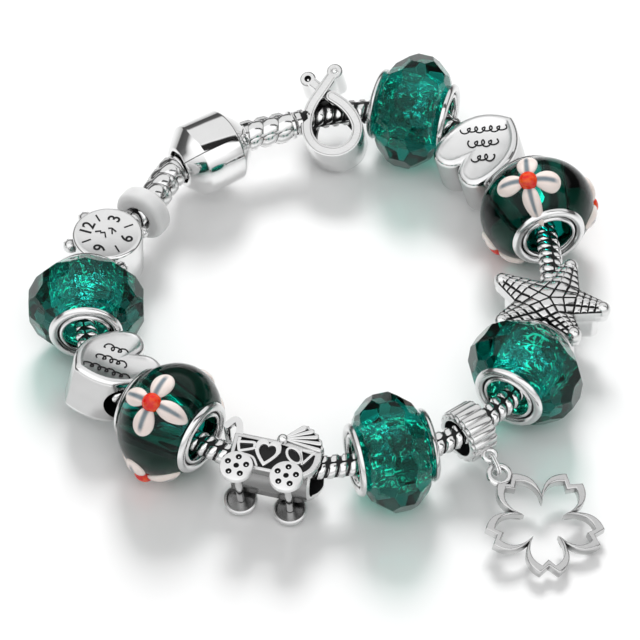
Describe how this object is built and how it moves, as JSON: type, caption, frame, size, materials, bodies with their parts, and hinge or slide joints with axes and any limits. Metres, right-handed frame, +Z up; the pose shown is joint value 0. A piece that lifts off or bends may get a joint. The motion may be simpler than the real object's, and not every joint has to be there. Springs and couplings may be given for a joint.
{
  "type": "charm bracelet",
  "caption": "Charm bracelet closed in a loop on a flat surface: snake chain, hinged barrel clasp, faceted and lampwork glass beads, cast metal charms and a flower pendant on a hanger bead.",
  "frame": {"origin": "under the middle of the bracelet, on the surface that it lies on", "axes": "+Z up, the thin direction of the lying bracelet; +Y towards the clasp side, the longest direction; +X towards the starfish"},
  "size_m": [0.0684, 0.0756, 0.0147],
  "materials": {
    "silver": "polished and satin silver plate, darkened in its grooves",
    "dark_silver": "oxidised silver plate with polished ribs",
    "crystal_glass": "faceted clear teal glass with streaks inside",
    "lampwork_glass": "smooth dark teal glass",
    "flower_glass": "opaque pinkish white glass petals with a red centre",
    "silicone": "milky translucent silicone"
  },
  "bodies": {
    "bracelet": {"snake_chain": "dark_silver", "chain_end_right": "silver", "chain_end_left": "silver", "clasp_base": "silver", "crystal_a": "crystal_glass", "crystal_a_ring_1": "silver", "crystal_a_ring_2": "silver", "crystal_b": "crystal_glass", "crystal_b_ring_1": "silver", "crystal_b_ring_2": "silver", "crystal_c": "crystal_glass", "crystal_c_ring_1": "silver", "crystal_c_ring_2": "silver", "crystal_d": "crystal_glass", "crystal_d_ring_1": "silver", "crystal_d_ring_2": "silver", "lampwork_e": "lampwork_glass", "lampwork_e_ring_1": "silver", "lampwork_e_ring_2": "silver", "lampwork_e_flower_1": "flower_glass", "lampwork_e_flower_2": "flower_glass", "lampwork_e_flower_3": "flower_glass", "lampwork_f": "lampwork_glass", "lampwork_f_ring_1": "silver", "lampwork_f_ring_2": "silver", "lampwork_f_flower_1": "flower_glass", "lampwork_f_flower_2": "flower_glass", "lampwork_f_flower_3": "flower_glass", "heart_1": "silver", "heart_2": "silver", "starfish_charm": "silver", "clock_charm": "silver", "ribbon_charm": "silver", "pram_charm": "silver", "stopper_ring": "silicone", "hanger_bead": "silver", "hanger_link": "silver", "flower_pendant": "silver"},
    "clasp_lid": {"clasp_lid": "silver"}
  },
  "joints": [
    {"name": "clasp_hinge", "type": "hinge", "parent": "bracelet", "child": "clasp_lid", "pos_m": [-0.01464, 0.02672, 0.00241], "axis": [-0.8383, -0.5452, 0], "range_deg": [0, 75]}
  ]
}
